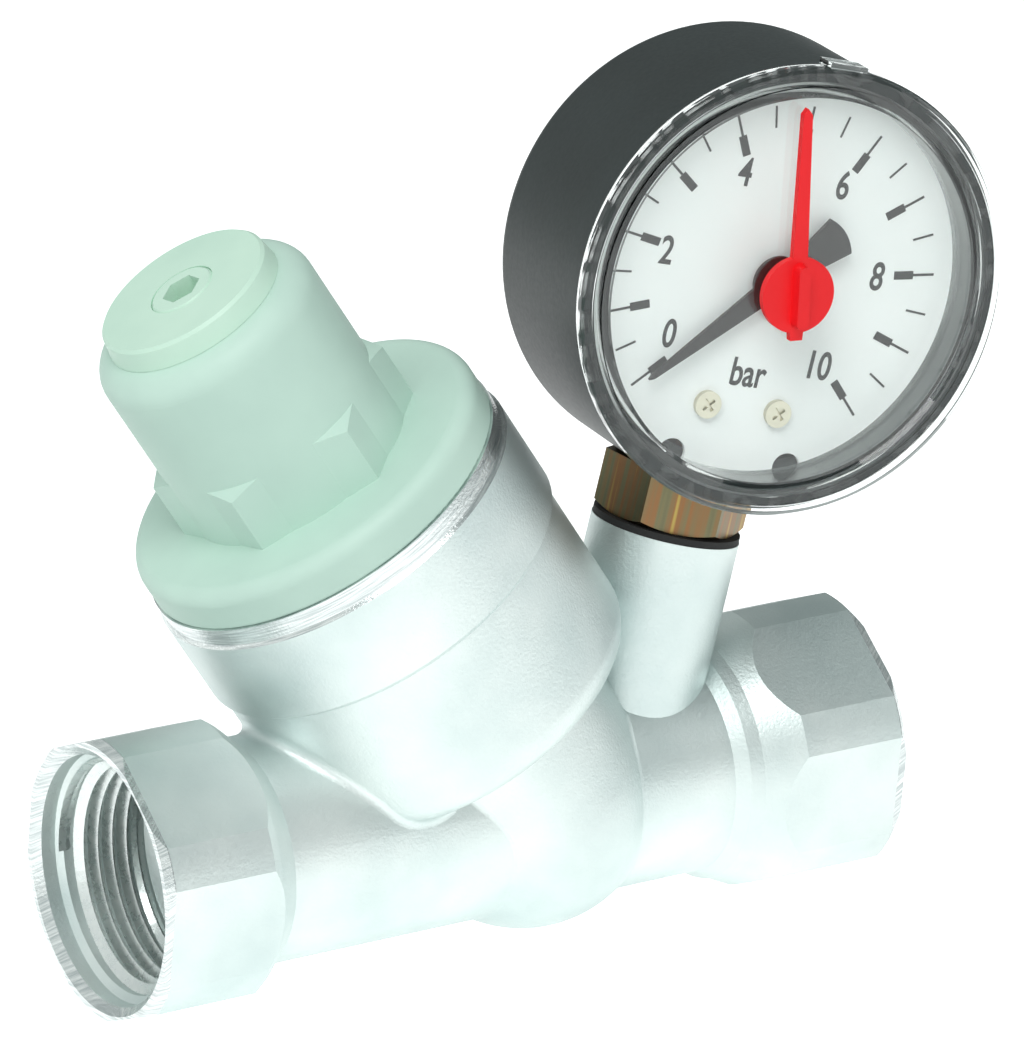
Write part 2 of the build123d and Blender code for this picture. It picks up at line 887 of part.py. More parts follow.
def biarc_joint(first, first_way, last, last_way):
    """The point where two arcs meet smoothly between two points with given directions."""
    chord = last - first
    ways = first_way + last_way
    a = 2 * (1 - first_way.dot(last_way))
    b = 2 * chord.dot(ways)
    c = -chord.dot(chord)
    reach = (-b + sqrt(b * b - 4 * a * c)) / (2 * a)
    return (first + last + (first_way - last_way) * reach) * 0.5


with BuildPart() as adjusting_spring:
    with BuildLine() as wire:
        for quarter in range(4 * spring_turns):
            first = spring_point(quarter)
            last = spring_point(quarter + 1)
            first_way = spring_tangent(quarter)
            last_way = spring_tangent(quarter + 1)
            joint = biarc_joint(first, first_way, last, last_way)
            lead = TangentArc(first, joint, tangent=first_way)
            TangentArc(joint, last, tangent=lead % 1)
    with BuildSketch(Plane(origin=spring_point(0), z_dir=spring_tangent(0))):
        Circle(spring_wire_radius)
    sweep(path=wire.line)
    # Both ends are ground flat.
    split(bisect_by=bonnet.offset(spring_foot), keep=Keep.TOP)
    split(bisect_by=bonnet.offset(spring_nut_bottom), keep=Keep.BOTTOM)
save(adjusting_spring, "adjusting_spring")
turn_gap = spring_height(2.5) - spring_height(1.5) - wire_diameter
print(f"gap between the adjusting spring's live turns: {turn_gap:.2f} mm")


# ---- Gauge: stem, case, lens and dial ---------------------------------------------------------
with BuildPart() as gauge_gasket:
    ring(stem_section, socket_thread_radius + 0.1, gasket_radius, boss_top, boss_top + gasket_thickness)
save(gauge_gasket, "gauge_gasket")

hexagon_foot = boss_top + gasket_thickness
hexagon_corner = gauge_hexagon / sqrt(3)
case_bottom = dial_height - case_radius
case_inner_radius = case_radius - case_wall
neck_top = dial_height + block_foot + 1


def tube_section(angle, grow=0.0, hollow=True):
    """The flattened section of the tube where it stands at an angle round the dial's axis."""
    outwards = dial.x_dir * cos(radians(angle)) + dial.y_dir * sin(radians(angle))
    here = Plane(origin=dial.origin, x_dir=outwards, z_dir=outwards.cross(dial.z_dir))
    with BuildSketch(here) as outline:
        with Locations((tube_radius, tube_height)):
            SlotOverall(2 * (tube_half_height + grow), 2 * (tube_half_width + grow), rotation=90)
            if hollow:
                SlotOverall(
                    2 * (tube_half_height - tube_wall),
                    2 * (tube_half_width - tube_wall),
                    rotation=90,
                    mode=Mode.SUBTRACT,
                )
    return outline.sketch


dial_axis = Axis(dial.origin, dial.z_dir)
with BuildPart() as gauge_socket:
    # Threaded end below, neck through the case above.
    turned(
        stem_section,
        [
            (0, boss_top - boss_thread_depth + 1),
            (socket_thread_radius - 0.8, boss_top - boss_thread_depth + 1),
            (socket_thread_radius, boss_top - boss_thread_depth + 1.8),
            (socket_thread_radius, hexagon_foot + 0.5),
            (socket_neck_radius, hexagon_foot + 0.5),
            (socket_neck_radius, neck_top),
            (0, neck_top),
        ],
    )
    with BuildSketch(stem.offset(hexagon_foot)):
        RegularPolygon(gauge_hexagon / 2, 6, major_radius=False, rotation=gauge_hexagon_turn)
    extrude(amount=case_bottom - hexagon_foot + 0.6)
    turned(
        stem_section,
        [
            (hexagon_corner - gauge_hexagon_chamfer, hexagon_foot),
            (hexagon_corner + 1, hexagon_foot),
            (hexagon_corner + 1, hexagon_foot + gauge_hexagon_chamfer),
        ],
        mode=Mode.SUBTRACT,
    )
    # The hexagon's top is hollowed to the round of the case.
    ring(dial_section, 0, case_radius + running, case_back - 1, case_front + 1, mode=Mode.SUBTRACT)
    with BuildSketch(stem.offset(case_bottom - 2)):
        Circle(socket_neck_radius)
    extrude(amount=neck_top - case_bottom + 2)
    # The block inside the case carries the tube and the movement.
    with BuildSketch(dial.offset(block_back)):
        with Locations((0, (block_top + block_foot) / 2)):
            RectangleRounded(2 * block_half_width, block_top - block_foot, 0.8)
    extrude(amount=block_front - block_back)
    # The tube's root is let into the block, and the bore leads to it.
    revolve(
        tube_section(tube_root_angle - 16, running, hollow=False),
        axis=dial_axis,
        revolution_arc=16,
        mode=Mode.SUBTRACT,
    )
    with BuildSketch(stem.offset(boss_top - boss_thread_depth)):
        Circle(socket_bore_radius)
    extrude(amount=dial_height - tube_radius - boss_top + boss_thread_depth + 0.6, mode=Mode.SUBTRACT)
    with BuildSketch(Plane(origin=stem.from_local_coords((0, 0, dial_height - tube_radius)), z_dir=-stem.x_dir)):
        Circle(tube_half_width - tube_wall)
    extrude(amount=tube_radius * sin(radians(270 - tube_root_angle)) + 0.2, mode=Mode.SUBTRACT)
    for side in (-1, 1):
        with BuildSketch(dial.offset(block_front)):
            with Locations((side * movement_screw_x, movement_screw_y)):
                Circle(small_screw_radius + running)
        extrude(amount=-4.2, mode=Mode.SUBTRACT)
save(gauge_socket, "gauge_socket")

with BuildPart() as gauge_case:
    with BuildSketch(dial_section):
        with BuildLine():
            FilletPolyline(
                (0, case_back),
                (case_radius, case_back),
                (case_radius, case_front),
                (case_inner_radius, case_front),
                radius=[case_back_round, 0.2],
            )
            Polyline(
                (case_inner_radius, case_front),
                (case_inner_radius, -dial_thickness),
                (dial_radius - 1, -dial_thickness),
                (dial_radius - 1, -dial_thickness - 0.6),
                (case_inner_radius, -dial_thickness - dial_ledge),
                (case_inner_radius, case_back + case_floor),
                (0, case_back + case_floor),
                (0, case_back),
            )
        make_face()
    revolve(axis=dial_axis)
    with BuildSketch(stem.offset(case_bottom - 1)):
        Circle(socket_neck_radius + running)
    extrude(amount=4, mode=Mode.SUBTRACT)
save(gauge_case, "gauge_case")

with BuildPart() as gauge_lens:
    turned(
        dial_section,
        [
            (stud_radius + running, lens_window_bottom),
            (lens_inner_radius, lens_window_bottom),
            (lens_inner_radius, running),
            (lens_skirt_radius, running),
            (lens_skirt_radius, case_front),
            (lens_radius, case_front),
            (lens_radius, lens_front - 0.6),
            (lens_radius - 0.2, lens_front - 0.2),
            (lens_radius - 0.6, lens_front),
            (lens_groove_outer, lens_front),
            (lens_groove_outer, lens_front - lens_groove_depth),
            (lens_skirt_radius, lens_front - lens_groove_depth),
            (lens_skirt_radius, lens_front),
            (lens_inner_radius + 0.5, lens_front),
            (lens_inner_radius, lens_window_top),
            (stud_radius + running, lens_window_top),
        ],
    )
    # Tab for prising the lens off.
    with BuildSketch(dial.offset(case_front - 1.2)):
        with Locations((0, lens_radius)):
            Rectangle(lens_tab_width, 0.8)
    extrude(amount=lens_front - case_front + 0.9)
save(gauge_lens, "gauge_lens")

with BuildPart() as gauge_dial:
    with BuildSketch(dial.offset(-dial_thickness)):
        Circle(dial_radius)
        Circle(dial_hole_radius, mode=Mode.SUBTRACT)
        with Locations((-dial_screw_x, dial_screw_y), (dial_screw_x, dial_screw_y)):
            Circle(small_screw_radius + running, mode=Mode.SUBTRACT)
        with Locations(
            polar(dial_radius, 270 - dial_notch_angle),
            polar(dial_radius, 270 + dial_notch_angle),
        ):
            Circle(dial_notch_radius, mode=Mode.SUBTRACT)
    extrude(amount=dial_thickness)
save(gauge_dial, "gauge_dial")

with BuildPart() as dial_screws:
    for side in (-1, 1):
        with BuildSketch(dial.offset(front_plate_back + 0.2)):
            with Locations((side * dial_screw_x, dial_screw_y)):
                Circle(small_screw_radius)
        extrude(amount=-front_plate_back - 0.2)
        with BuildSketch(dial):
            with Locations((side * dial_screw_x, dial_screw_y)):
                Circle(dial_screw_head)
        extrude(amount=dial_screw_head_height)
        with BuildSketch(dial.offset(dial_screw_head_height)):
            with Locations((side * dial_screw_x, dial_screw_y)):
                Rectangle(1.7, 0.4, rotation=45)
                Rectangle(0.4, 1.7, rotation=45)
        extrude(amount=-0.4, mode=Mode.SUBTRACT)
save(dial_screws, "dial_screws")

# ---- Gauge: tube, tip and movement ------------------------------------------------------------
with BuildPart() as bourdon_tube:
    revolve(
        tube_section(tube_tip_angle),
        axis=dial_axis,
        revolution_arc=tube_root_angle - tube_tip_angle,
    )
save(bourdon_tube, "bourdon_tube")

with BuildPart() as tube_tip:
    tip_place = polar(tube_radius, tube_tip_angle - 4.6)
    with BuildSketch(dial.offset(tube_height - tube_half_height - 0.2)):
        with Locations(Location((tip_place[0], tip_place[1]), tube_tip_angle - 4.6)):
            Rectangle(2 * tube_half_width + 0.8, 2.1)
    extrude(amount=2 * tube_half_height + 0.6)
    with BuildSketch(dial.offset(tube_height + tube_half_height)):
        with Locations((tip_pin_x, tip_pin_y)):
            Circle(1.0)
    extrude(amount=link_back - 0.1 - tube_height - tube_half_height)
    with BuildSketch(dial.offset(link_back - 0.2)):
        with Locations((tip_pin_x, tip_pin_y)):
            Circle(pin_radius)
    extrude(amount=link_thickness + 0.6)
save(tube_tip, "tube_tip")

sector_pitch_radius = gear_module * sector_wheel_teeth / 2
pinion_pitch_radius = gear_module * pinion_teeth / 2
pivot = polar(sector_pitch_radius + pinion_pitch_radius, sector_pivot_angle)
tail_pin = polar(tail_length, tail_angle, pivot)
mesh_angle = sector_pivot_angle + 180
foot_places = ((-movement_screw_x, movement_screw_y), (movement_screw_x, movement_screw_y))
post_places = ((-dial_screw_x, dial_screw_y), (dial_screw_x, dial_screw_y))


with BuildPart() as back_plate:
    with BuildSketch(dial.offset(block_front)):
        with Locations(*pillar_places, pivot, *foot_places):
            Circle(1.9)
        make_hull()
        with Locations((0, 0)):
            Circle(arbor_radius + running, mode=Mode.SUBTRACT)
        with Locations(pivot):
            Circle(sector_arbor_radius + running, mode=Mode.SUBTRACT)
        with Locations(*foot_places):
            Circle(small_screw_radius + running, mode=Mode.SUBTRACT)
    extrude(amount=plate_sheet)
    # The stud that holds the hairspring's outer end.
    hairspring_end = hairspring_start + hairspring_growth * (hairspring_half_turns // 2)
    with BuildSketch(dial.offset(block_front + plate_sheet)):
        with Locations((-hairspring_end - hairspring_strip / 2 - 0.5, 0)):
            Circle(0.5)
    extrude(amount=1.2)
save(back_plate, "back_plate")

with BuildPart() as front_plate:
    with BuildSketch(dial.offset(front_plate_back)):
        with Locations(*pillar_places, pivot, *post_places):
            Circle(1.9)
        make_hull()
        with Locations((0, 0)):
            Circle(arbor_radius + running, mode=Mode.SUBTRACT)
        with Locations(pivot):
            Circle(sector_arbor_radius + running, mode=Mode.SUBTRACT)
    extrude(amount=plate_sheet)
    with BuildSketch(dial.offset(front_plate_back + plate_sheet)):
        with Locations(*post_places):
            Circle(1.9)
    extrude(amount=-front_plate_back - plate_sheet - dial_thickness)
    with BuildSketch(dial.offset(front_plate_back)):
        with Locations(*post_places):
            Circle(small_screw_radius + running)
    extrude(amount=-front_plate_back, mode=Mode.SUBTRACT)
save(front_plate, "front_plate")

with BuildPart() as plate_pillars:
    with BuildSketch(dial.offset(block_front + plate_sheet)):
        with Locations(*pillar_places):
            Circle(pillar_radius)
    extrude(amount=front_plate_back - block_front - plate_sheet)
save(plate_pillars, "plate_pillars")

with BuildPart() as movement_screws:
    for place in foot_places:
        with BuildSketch(dial.offset(block_front - 3.6)):
            with Locations(place):
                Circle(small_screw_radius)
        extrude(amount=3.6 + plate_sheet)
        with BuildSketch(dial.offset(block_front + plate_sheet)):
            with Locations(place):
                Circle(1.4)
        extrude(amount=0.8)
        with BuildSketch(dial.offset(block_front + plate_sheet + 0.8)):
            with Locations(place):
                Rectangle(3.0, 0.4)
        extrude(amount=-0.4, mode=Mode.SUBTRACT)
save(movement_screws, "movement_screws")


def involute(angle):
    """The involute function of an angle in radians."""
    return tan(angle) - angle


def tooth(teeth, centre, angle):
    """The outline of one involute tooth, from its root on one side to its root on the other."""
    pitch = gear_module * teeth / 2
    base = pitch * cos(radians(pressure_angle))
    root = pitch - gear_dedendum * gear_module
    tip = pitch + gear_addendum * gear_module
    half = degrees((pi / 2) * (1 - gear_backlash) / teeth + involute(radians(pressure_angle)))
    heights = (root, pitch, tip) if root > base else (root, base, pitch, tip)
    flank = []
    for radius in heights:
        leaning = acos(min(1.0, base / radius))
        flank.append((radius, half - degrees(involute(leaning))))
    rising = [polar(radius, angle - spread, centre) for radius, spread in flank]
    falling = [polar(radius, angle + spread, centre) for radius, spread in reversed(flank)]
    return rising + falling


with BuildPart() as sector_gear:
    tooth_pitch_angle = 360 / sector_wheel_teeth
    first_tooth = mesh_angle - sector_teeth_before * tooth_pitch_angle
    tooth_total = sector_teeth_before + sector_teeth_after + 1
    edge_points = []
    for number in range(tooth_total):
        edge_points += tooth(sector_wheel_teeth, pivot, first_tooth + number * tooth_pitch_angle)
    with BuildSketch(dial.offset(gear_back)):
        with BuildLine():
            Polyline(
                polar(1.5, first_tooth - 90, pivot),
                *edge_points,
                polar(1.5, mesh_angle + 90, pivot),
                close=True,
            )
        make_face()
        # The rim is lightened between hub and teeth.
        with BuildLine():
            Polyline(
                polar(3.4, first_tooth + 14, pivot),
                polar(7.4, first_tooth + 5, pivot),
                polar(7.4, mesh_angle + 1, pivot),
                polar(3.4, mesh_angle - 8, pivot),
                close=True,
            )
        make_face(mode=Mode.SUBTRACT)
        with Locations(pivot):
            Circle(1.7)
        with BuildLine():
            Line(pivot, tail_pin)
        trace(line_width=1.5)
        with Locations(tail_pin):
            Circle(0.95)
    extrude(amount=gear_thickness)
    # The arbor, the shoulder and the pin for the link.
    with BuildSketch(dial.offset(block_front + 0.1)):
        with Locations(pivot):
            Circle(sector_arbor_radius)
    extrude(amount=front_plate_back + plate_sheet - block_front - 0.1)
    with BuildSketch(dial.offset(link_back + link_thickness + running)):
        with Locations(tail_pin):
            Circle(0.8)
    extrude(amount=gear_back - link_back - link_thickness - running)
    with BuildSketch(dial.offset(link_back - 0.3)):
        with Locations(tail_pin):
            Circle(pin_radius)
    extrude(amount=gear_back - link_back + 0.3)
save(sector_gear, "sector_gear")

with BuildPart() as link:
    with BuildSketch(dial.offset(link_back)):
        with BuildLine():
            Line(tail_pin, (tip_pin_x, tip_pin_y))
        trace(line_width=1.1)
        with Locations(tail_pin, (tip_pin_x, tip_pin_y)):
            Circle(1.2)
        with Locations(tail_pin):
            Circle(pin_radius + running, mode=Mode.SUBTRACT)
        with Locations((tip_pin_x, tip_pin_y)):
            Circle(pin_radius + link_slack, mode=Mode.SUBTRACT)
    extrude(amount=link_thickness)
save(link, "link")

with BuildPart() as pinion:
    gear_edge = []
    for number in range(pinion_teeth):
        gear_edge += tooth(pinion_teeth, (0, 0), sector_pivot_angle + (number + 0.5) * 360 / pinion_teeth)
    with BuildSketch(dial.offset(gear_back - 0.2)):
        with BuildLine():
            Polyline(*gear_edge, close=True)
        make_face()
    extrude(amount=gear_thickness + 0.4)
    with BuildSketch(dial.offset(block_front - 0.3)):
        Circle(arbor_radius)
    extrude(amount=pointer_back + pointer_thickness + 0.9 - block_front + 0.3)
    with BuildSketch(dial.offset(block_front + plate_sheet + 0.2)):
        Circle(collet_radius)
    extrude(amount=1.0)
save(pinion, "pinion")

with BuildPart() as hairspring:
    with BuildSketch(dial.offset(block_front + plate_sheet + 0.35)):
        with BuildLine():
            for half_turn in range(hairspring_half_turns):
                strip_radius = hairspring_start + hairspring_growth * half_turn / 2
                strip_centre = (half_turn % 2) * hairspring_growth / 2
                CenterArc((strip_centre, 0), strip_radius, 180 * (half_turn % 2), 180)
        trace(line_width=hairspring_strip)
    extrude(amount=hairspring_width)
save(hairspring, "hairspring")

# ---- Gauge: pointer and marker ----------------------------------------------------------------
with BuildPart() as pointer:
    with BuildSketch(dial.offset(pointer_back)):
        Circle(pointer_hub_radius)
        with BuildLine():
            Polyline(
                polar(pointer_hub_radius, pointer_zero - 24),
                polar(pointer_length - 0.6, pointer_zero - 0.9),
                polar(pointer_length, pointer_zero),
                polar(pointer_length - 0.6, pointer_zero + 0.9),
                polar(pointer_hub_radius, pointer_zero + 24),
                close=True,
            )
        make_face()
        with BuildLine():
            tail_way = pointer_zero - 180
            fan_start = polar(pointer_tail, tail_way - pointer_tail_half_angle)
            fan_middle = polar(pointer_tail + 0.3, tail_way)
            fan_end = polar(pointer_tail, tail_way + pointer_tail_half_angle)
            ThreePointArc(fan_start, fan_middle, fan_end)
            Polyline(
                fan_end,
                polar(pointer_hub_radius, tail_way + 26),
                polar(pointer_hub_radius, tail_way - 26),
                fan_start,
            )
        make_face()
    extrude(amount=pointer_thickness)
    with BuildSketch(dial.offset(pointer_back + pointer_thickness)):
        Circle(1.3)
    extrude(amount=0.8)
    with BuildSketch(dial.offset(pointer_back)):
        Circle(arbor_radius)
    extrude(amount=pointer_thickness + 0.8, mode=Mode.SUBTRACT)
save(pointer, "pointer")

with BuildPart() as marker_hand:
    with BuildSketch(dial.offset(marker_back)):
        Circle(marker_disc_radius)
        with BuildLine():
            Polyline(
                polar(marker_disc_radius - 0.3, marker_angle - 13),
                polar(marker_length - 0.7, marker_angle - 1.5),
                polar(marker_length, marker_angle),
                polar(marker_length - 0.7, marker_angle + 1.5),
                polar(marker_disc_radius - 0.3, marker_angle + 13),
                close=True,
            )
        make_face()
        with BuildLine():
            Polyline(
                polar(marker_disc_radius - 0.3, marker_angle + 168),
                polar(marker_tail, marker_angle + 172),
                polar(marker_tail, marker_angle + 188),
                polar(marker_disc_radius - 0.3, marker_angle + 192),
                close=True,
            )
        make_face()
    extrude(amount=marker_thickness)
    grip_plane = dial.offset(marker_back + marker_thickness)
    with BuildSketch(grip_plane):
        SlotOverall(2 * marker_disc_radius - 1.2, marker_grip_width, rotation=marker_angle)
    extrude(amount=marker_grip_height, taper=6)
    with BuildSketch(dial.offset(marker_back)):
        Circle(stud_radius)
    extrude(amount=marker_thickness - 0.2, mode=Mode.SUBTRACT)
save(marker_hand, "marker_hand")

with BuildPart() as marker_stud:
    turned(
        dial_section,
        [
            (0, lens_window_bottom - 0.9),
            (stud_head_radius, lens_window_bottom - 0.9),
            (stud_head_radius, lens_window_bottom - running),
            (stud_radius, lens_window_bottom - running),
            (stud_radius, marker_back + marker_thickness - 0.2),
            (0, marker_back + marker_thickness - 0.2),
        ],
    )
save(marker_stud, "marker_stud")
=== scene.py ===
# %% [markdown]
# A pressure reducing valve sits in a house's water pipe. It has a cast brass body with a satin
# nickel skin, a moulded plastic cover that leans back over the inlet, and a small dial gauge on a
# brass stem. The measured model gives every shape and place, so this lesson is about what it
# looks like: the cast grain, the moulded plastics, the printed dial and the clear lens.

# %% Load the measured pieces
import json
import math
import bmesh
import bpy
from mathutils import Matrix, Vector


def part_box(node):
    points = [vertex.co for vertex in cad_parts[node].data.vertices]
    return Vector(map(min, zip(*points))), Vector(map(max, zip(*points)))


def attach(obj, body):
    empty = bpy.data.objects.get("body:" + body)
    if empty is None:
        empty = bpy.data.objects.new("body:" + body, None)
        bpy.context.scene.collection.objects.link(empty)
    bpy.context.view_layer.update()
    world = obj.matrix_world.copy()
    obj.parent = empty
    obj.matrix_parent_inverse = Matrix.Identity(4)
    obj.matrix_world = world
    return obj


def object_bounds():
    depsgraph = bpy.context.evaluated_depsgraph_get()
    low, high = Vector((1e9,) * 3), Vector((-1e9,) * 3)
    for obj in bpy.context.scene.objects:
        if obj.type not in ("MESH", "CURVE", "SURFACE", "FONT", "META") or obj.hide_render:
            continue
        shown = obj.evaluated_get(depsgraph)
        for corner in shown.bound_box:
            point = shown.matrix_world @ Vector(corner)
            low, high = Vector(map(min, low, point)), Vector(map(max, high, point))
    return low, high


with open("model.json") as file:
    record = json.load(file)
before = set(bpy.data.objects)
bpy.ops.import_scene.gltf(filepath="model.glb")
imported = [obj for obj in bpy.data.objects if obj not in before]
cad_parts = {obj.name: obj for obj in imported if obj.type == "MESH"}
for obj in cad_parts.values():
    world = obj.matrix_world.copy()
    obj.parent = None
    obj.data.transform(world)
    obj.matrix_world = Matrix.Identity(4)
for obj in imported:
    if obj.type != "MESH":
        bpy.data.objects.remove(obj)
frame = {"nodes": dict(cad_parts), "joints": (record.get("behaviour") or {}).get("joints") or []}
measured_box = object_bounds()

nodes = frame["nodes"]
joints = {joint["name"]: joint for joint in frame["joints"]}
MM = 0.001
print("measured pieces:", len(nodes))

# %% [markdown]
# Two places are used again and again: the slanted axis of the bonnet and the face of the dial.
# Both could be typed in as numbers, but then they would drift away from the measured model. They
# are read from the joints instead: the adjusting screw turns about the bonnet's axis, the pointer
# turns about the middle of the dial, and the toothed sector's pivot tells which way is up on it.

# %% Places on the valve
SECTOR_PIVOT_ANGLE = -70.0


def plane_matrix(origin, right, forward):
    """A matrix that takes millimetres on a plane to metres on the valve, with z out of the plane."""
    z_axis = Vector(forward).normalized()
    x_axis = (Vector(right) - z_axis * Vector(right).dot(z_axis)).normalized()
    y_axis = z_axis.cross(x_axis)
    turn = Matrix((x_axis, y_axis, z_axis)).transposed().to_4x4()
    return Matrix.Translation(Vector(origin)) @ turn @ Matrix.Scale(MM, 4)


dial_middle = Vector(joints["pointer_turn"]["pos_m"])
dial_forward = Vector(joints["pointer_turn"]["axis"])
to_pivot = Vector(joints["sector_turn"]["pos_m"]) - dial_middle
dial_right = Matrix.Rotation(math.radians(-SECTOR_PIVOT_ANGLE), 3, dial_forward) @ to_pivot
dial = plane_matrix(dial_middle, dial_right, dial_forward)

bonnet_foot = Vector(joints["adjusting_turn"]["pos_m"])
bonnet_axis = Vector(joints["adjusting_turn"]["axis"])
bonnet = plane_matrix(bonnet_foot, (1, 0, 0), bonnet_axis)
pipe_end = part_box("body")[1].x
print("pipe end (mm):", round(pipe_end / MM, 2))
print("dial middle (mm):", [round(v / MM, 2) for v in dial_middle])
print("bonnet foot (mm):", [round(v / MM, 2) for v in bonnet_foot])

# %% [markdown]
# The camera stands far away with a long lens, the way small parts are shown in a catalogue: the
# outlines stay almost parallel. It could be aimed by a Track To constraint, but an exact place and
# turn written as three directions is easier to repeat and needs no helper object.

# %% Camera
CAMERA_PLACE = Vector((-0.44761, -0.82879, 0.27855))
CAMERA_RIGHT = Vector((0.8489, -0.5270, -0.0417))
CAMERA_BACK = Vector((-0.5023, -0.8286, 0.2472))
LENS_LENGTH = 310.64

camera_data = bpy.data.cameras.new("catalogue_camera")
camera_data.lens = LENS_LENGTH
camera_data.sensor_width = 36.0
camera_data.clip_start = 0.01
camera_data.clip_end = 20.0
camera = bpy.data.objects.new("catalogue_camera", camera_data)
bpy.context.scene.collection.objects.link(camera)
camera.matrix_world = plane_matrix(CAMERA_PLACE, CAMERA_RIGHT, CAMERA_BACK) @ Matrix.Scale(1 / MM, 4)
bpy.context.scene.camera = camera
print("camera distance (m):", round((CAMERA_PLACE - dial_middle).length, 3))

# %% [markdown]
# A white studio: large soft lamps, a white floor and a white world. A shiny metal part shows what
# stands round it, so the room matters more than the lamps. The floor adds a little of its own
# light for camera, mirror and glass rays, which turns it white there and still lets the valve's
# shadow show. A plain white lamp dome would flatten the forms, so one side is kept greyer.

# %% Studio
FLOOR_GLOW = 0.72
WORLD_SIDE_GREY = 0.15


def seen_directly(tree):
    """One for camera, mirror and glass rays, nought for the others."""
    path = tree.nodes.new("ShaderNodeLightPath")
    first = tree.nodes.new("ShaderNodeMath")
    first.operation = "MAXIMUM"
    tree.links.new(path.outputs["Is Camera Ray"], first.inputs[0])
    tree.links.new(path.outputs["Is Glossy Ray"], first.inputs[1])
    second = tree.nodes.new("ShaderNodeMath")
    second.operation = "MAXIMUM"
    tree.links.new(first.outputs[0], second.inputs[0])
    tree.links.new(path.outputs["Is Transmission Ray"], second.inputs[1])
    return second.outputs[0]


def make_floor():
    """The white table under the valve."""
    material = bpy.data.materials.new("studio_white")
    material.use_nodes = True
    tree = material.node_tree
    shader = tree.nodes["Principled BSDF"]
    shader.inputs["Base Color"].default_value = (0.86, 0.87, 0.87, 1)
    shader.inputs["Roughness"].default_value = 0.9
    shader.inputs["Specular IOR Level"].default_value = 0.0
    shader.inputs["Emission Color"].default_value = (1, 1, 1, 1)
    glow = tree.nodes.new("ShaderNodeMath")
    glow.operation = "MULTIPLY"
    glow.inputs[1].default_value = FLOOR_GLOW
    tree.links.new(seen_directly(tree), glow.inputs[0])
    tree.links.new(glow.outputs[0], shader.inputs["Emission Strength"])
    mesh = bpy.data.meshes.new("studio_floor")
    half = 3.0
    level = measured_box[0].z - 0.0002
    corners = [(-half, -half, level), (half, -half, level), (half, half, level), (-half, half, level)]
    mesh.from_pydata(corners, [], [(0, 1, 2, 3)])
    mesh.materials.append(material)
    floor = bpy.data.objects.new("studio_floor", mesh)
    bpy.context.scene.collection.objects.link(floor)
    return floor


def make_world():
    """A white room, a little greyer on the side away from the lamps."""
    world = bpy.data.worlds.new("white_room")
    world.use_nodes = True
    bpy.context.scene.world = world
    tree = world.node_tree
    background = tree.nodes["Background"]
    place = tree.nodes.new("ShaderNodeTexCoord")
    split = tree.nodes.new("ShaderNodeSeparateXYZ")
    tree.links.new(place.outputs["Generated"], split.inputs[0])
    ramp = tree.nodes.new("ShaderNodeValToRGB")
    ramp.color_ramp.elements[0].position = 0.0
    ramp.color_ramp.elements[0].color = (0.82, 0.86, 0.85, 1)
    ramp.color_ramp.elements[1].position = 1.0
    ramp.color_ramp.elements[1].color = (WORLD_SIDE_GREY, WORLD_SIDE_GREY + 0.03, WORLD_SIDE_GREY + 0.03, 1)
    spread = tree.nodes.new("ShaderNodeMapRange")
    spread.inputs["From Min"].default_value = -1.0
    spread.inputs["From Max"].default_value = 1.0
    tree.links.new(split.outputs["X"], spread.inputs["Value"])
    tree.links.new(spread.outputs[0], ramp.inputs[0])
    mix = tree.nodes.new("ShaderNodeMix")
    mix.data_type = "RGBA"
    path = tree.nodes.new("ShaderNodeLightPath")
    tree.links.new(path.outputs["Is Camera Ray"], mix.inputs["Factor"])
    tree.links.new(ramp.outputs[0], mix.inputs["A"])
    mix.inputs["B"].default_value = (1, 1, 1, 1)
    tree.links.new(mix.outputs["Result"], background.inputs["Color"])
    background.inputs["Strength"].default_value = 1.0


def make_lamp(name, place, size, power):
    """A soft square lamp that points at the middle of the valve."""
    data = bpy.data.lights.new(name, "AREA")
    data.shape = "SQUARE"
    data.size = size
    data.energy = power
    lamp = bpy.data.objects.new(name, data)
    lamp.location = place
    middle = (measured_box[0] + measured_box[1]) / 2
    lamp.rotation_mode = "QUATERNION"
    lamp.rotation_quaternion = (Vector(place) - middle).to_track_quat("Z", "Y")
    bpy.context.scene.collection.objects.link(lamp)
    return lamp


make_floor()
make_world()
make_lamp("key_lamp", (-0.35, -0.55, 0.75), 0.5, 4.0)
make_lamp("side_lamp", (0.75, -0.35, 0.35), 0.4, 0.8)
bpy.context.scene.view_settings.view_transform = "Standard"

# %% [markdown]
# Every finish starts the same way: one physically based shader whose colour, roughness and bump
# come from noise measured in the valve's own metres, so that the grain keeps its size on every
# piece. Image textures could do it too, but noise has no seams and needs no unwrapping.

# %% Helpers for finishes
def finish_material(name, metallic=0.0, specular=0.5):
    """An empty finish with one shader, and a few of its parts to build on."""
    material = bpy.data.materials.new(name)
    material.use_nodes = True
    tree = material.node_tree
    shader = tree.nodes["Principled BSDF"]
    shader.inputs["Metallic"].default_value = metallic
    shader.inputs["Specular IOR Level"].default_value = specular
    return material, tree, shader


def object_place(tree, scale=(1, 1, 1), matrix=None):
    """Places on the piece itself, stretched and, if a matrix is given, turned into its own axes."""
    place = tree.nodes.new("ShaderNodeTexCoord").outputs["Object"]
    mapping = tree.nodes.new("ShaderNodeMapping")
    mapping.vector_type = "POINT"
    if matrix is not None:
        centred = tree.nodes.new("ShaderNodeMapping")
        centred.vector_type = "TEXTURE"
        centred.inputs["Location"].default_value = matrix.translation
        centred.inputs["Rotation"].default_value = matrix.to_euler()
        tree.links.new(place, centred.inputs["Vector"])
        place = centred.outputs["Vector"]
    mapping.inputs["Scale"].default_value = scale
    tree.links.new(place, mapping.inputs["Vector"])
    return mapping.outputs["Vector"]


